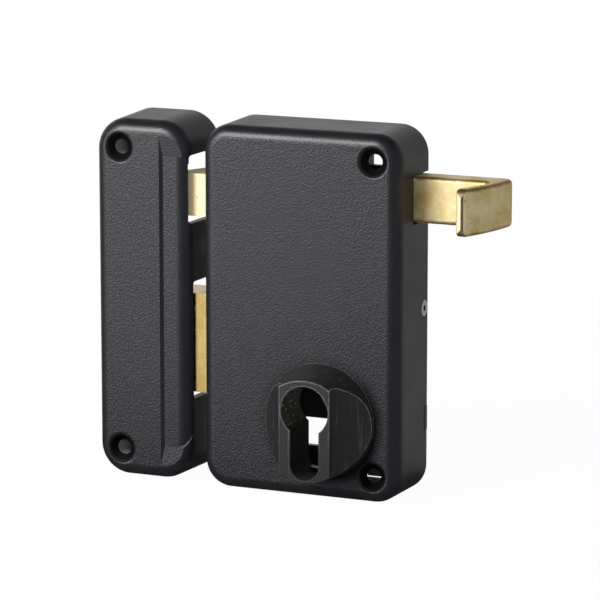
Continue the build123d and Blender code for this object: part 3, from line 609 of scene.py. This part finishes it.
def handleMaterial():
    material, t, shader, place = newMaterial("handleBrass", Metallic=0.72)
    spread, shown = handleBrass["pits"]
    pits = t.group(smallPits, Place=place, Spread=spread, Share=shown)
    clouds = t.noise(place, handleBrass["patches"], 5.0, 0.62)
    fine = t.noise(place, handleBrass["fine"])
    dents = t.noise(place, handleBrass["dents"])
    axes, sides = t.split(place), t.split(t.add("TexCoord").outputs["Normal"])
    colour = t.mixed(t.ranged(clouds, *handleBrass["patchEdge"]), handleBrass["dark"], handleBrass["light"])
    # painted shade: a brown band on the rims stands in for the dark line of a sharper edge and damps the
    # fillets' highlight
    wander = handleBrass["rimWander"]
    off = t.maths("ABSOLUTE", t.maths("SUBTRACT", axes[2], handleBrass["middle"]))
    off = t.maths("MULTIPLY_ADD", dents, wander, off)
    rims = t.ranged(off, *(edge + wander / 2 for edge in handleBrass["rims"]))
    level = t.inverted(t.ranged(t.maths("ABSOLUTE", sides[2]), *handleBrass["levelFaces"]))
    colour = t.mixed(t.times(rims, level, handleBrass["rimShare"]), colour, handleBrass["brown"])
    dull = t.times(t.ranged(axes[0], *handleBrass["heel"]), handleBrass["heelShare"])
    colour = t.mixed(dull, colour, handleBrass["dark"])
    colour = t.mixed(t.times(pits["Mask"], handleBrass["pitShare"]), colour, handleBrass["brown"])
    # painted shade: a dark line is painted down the outer corner of the tip, on the faces that turn toward
    # the right
    begins, full, fading, gone = handleBrass["lineTurn"]
    line = t.times(t.ranged(sides[0], begins, full), t.ranged(sides[0], fading, gone, 1.0, 0.0))
    line = t.times(line, t.ranged(sides[1], *handleBrass["lineForward"], 1.0, 0.0))
    line = t.times(line, t.ranged(axes[1], *handleBrass["tip"]), handleBrass["lineShare"])
    colour = t.mixed(line, colour, handleBrass["edgeLine"])
    rough = t.ranged(clouds, *midNoise, *handleBrass["roughness"])
    rough = t.maths("MULTIPLY_ADD", fine, handleBrass["rougherFine"], rough)
    ofDents, ofFine = handleBrass["reliefs"]
    relief = t.maths("MULTIPLY_ADD", fine, ofFine, pits["Height"])
    relief = t.maths("MULTIPLY_ADD", dents, ofDents, relief)
    return finished(material, t, shader, colour, rough, relief, handleBrass["depth"])


finishes = {
    "black_paint": paintMaterial(),
    "guard_black": guardMaterial(),
    "plate_black": plateMaterial(),
    "zinc": zincMaterial(),
    "spring_steel": springMaterial(),
    "dead_brass": boltMaterial("deadBrass", deadBrass, 1.0),
    "latch_brass": boltMaterial("latchBrass", latchBrass, 0.45),
    "handle_brass": handleMaterial(),
}
for name, piece in nodes.items():
    for socket in piece.material_slots:
        socket.material = finishes[slotOf[name]]
print("finishes on", len(nodes), "nodes")


def addLatchCoil():
    # the same coil as the node it stands for, in a mesh of its own, hung on the case
    coil = bpy.data.objects.new("latchCoil", nodes["latch_spring"].data.copy())
    bpy.context.scene.collection.objects.link(coil)
    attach(coil, "case")
    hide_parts("latch_spring")
    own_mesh(coil)


addLatchCoil()
print("latch coil made")

studio = {
    "floorSize": 8.0,
    "floorColour": (0.92, 0.92, 0.92, 1),
    "floorRoughness": 0.9,
    "shadowShare": 0.03,      # how much of the floor's own shade shows beside the lock
    "shadowReach": (0.12, 0.45),
    "ambient": 0.28,
    "lamps": {
        # place, what it looks at, size in metres, watts, whether shiny surfaces mirror it
        "overFront": ((-0.25, -0.46, 0.30), (0, 0, 0.02), (0.30, 0.20), 3.0, True),
        "leftFront": ((-0.80, -0.95, 0.00), (0, 0, 0), (0.5, 0.9), 7.0, True),
        "rightFill": ((0.55, -1.10, 0.25), (0, 0, 0), (0.5, 0.5), 5.0, False),
    },
}
glow = {
    "toward": (-0.53, -0.85, 0.0),         # the pale side, at the front left
    "paleEdge": (0.80, 0.97),
    "behind": (0.0, 0.5),
    "behindSides": (-0.4, 0.4, 0.80, 0.40),   # paler on the left, where the top faces look
    "right": (0.45, 0.9, 0.04, 0.22),      # a weak reflector
    "overhead": (0.35, 0.8, 1.0, 0.15),
}
white = (1, 1, 1, 1)


def makeStudioGlow():
    # what shiny surfaces meet in each direction
    t, start, end = newGroup("studioGlow", [("Toward", vector, None)], ["Strength"])
    toward = t.vectors("NORMALIZE", start["Toward"])[0]
    axes = t.split(toward)
    frontLeft = t.ranged(t.vectors("DOT_PRODUCT", toward, glow["toward"])["Value"], *glow["paleEdge"])
    behind = t.times(t.ranged(axes[1], *glow["behind"]), t.ranged(axes[0], *glow["behindSides"]))
    strength = t.maths("MAXIMUM", t.maths("MAXIMUM", frontLeft, behind), t.ranged(axes[0], *glow["right"]))
    t.feed(end["Strength"], t.times(strength, t.ranged(axes[2], *glow["overhead"])))
    return t.tree


studioGlow = makeStudioGlow()


def addFloor():
    low = cadBox[0].z
    half = studio["floorSize"] / 2
    corners = [(-half, -half, low), (half, -half, low), (half, half, low), (-half, half, low)]
    mesh = bpy.data.meshes.new("floor")
    mesh.from_pydata(corners, [], [(0, 1, 2, 3)])
    floor = bpy.data.objects.new("floor", mesh)
    bpy.context.scene.collection.objects.link(floor)
    material, t, shader, place = newMaterial(
        "paleFloor", Base_Color=studio["floorColour"], Roughness=studio["floorRoughness"]
    )
    ray = t.add("LightPath").outputs
    mirrored = t.group(studioGlow, Toward=place)["Strength"]
    strength = t.maths("MAXIMUM", ray["Is Camera Ray"], mirrored)
    light = t.add("Emission", Color=white, Strength=strength)
    shown = t.maths("ADD", ray["Is Camera Ray"], ray["Is Glossy Ray"])
    shown = t.maths("ADD", shown, ray["Is Transmission Ray"], clamp=True)
    away = t.ranged(t.length(place), *studio["shadowReach"])
    share = studio["shadowShare"]
    kept = t.maths("MULTIPLY_ADD", away, share, 1 - share)
    mix = t.add("MixShader", Fac=t.times(shown, kept))
    t.feed(mix.inputs[1], shader.outputs[0])
    t.feed(mix.inputs[2], light.outputs[0])
    t.feed(material.node_tree.nodes["Material Output"].inputs["Surface"], mix.outputs[0])
    mesh.materials.append(material)


def addWorld():
    world = bpy.data.worlds.new("studioWorld")
    bpy.context.scene.world = world
    world.use_nodes = True
    t = Tree(world.node_tree)
    plain = world.node_tree.nodes["Background"]
    plain.inputs["Color"].default_value = white
    plain.inputs["Strength"].default_value = studio["ambient"]
    mirrored = t.group(studioGlow, Toward=t.add("TexCoord").outputs["Generated"])["Strength"]
    seen = t.add("Background", Color=white, Strength=mirrored)
    backdrop = t.add("Background", Color=white, Strength=1.0)
    ray = t.add("LightPath").outputs
    shiny = t.maths("ADD", ray["Is Glossy Ray"], ray["Is Transmission Ray"], clamp=True)
    lighting = t.add("MixShader", Fac=shiny)
    t.feed(lighting.inputs[1], plain.outputs[0])
    t.feed(lighting.inputs[2], seen.outputs[0])
    final = t.add("MixShader", Fac=ray["Is Camera Ray"])
    t.feed(final.inputs[1], lighting.outputs[0])
    t.feed(final.inputs[2], backdrop.outputs[0])
    t.feed(world.node_tree.nodes["World Output"].inputs["Surface"], final.outputs[0])


def addLamps():
    for name, (place, target, size, watts, mirrored) in studio["lamps"].items():
        data = bpy.data.lights.new(name, "AREA")
        data.shape = "RECTANGLE"
        data.size, data.size_y = size
        data.energy = watts
        lamp = bpy.data.objects.new(name, data)
        lamp.matrix_world = aimed(place, Vector(place) - Vector(target))
        lamp.visible_glossy = mirrored
        bpy.context.scene.collection.objects.link(lamp)


addFloor()
addWorld()
addLamps()
bpy.context.scene.view_settings.view_transform = "Standard"
print("studio set")
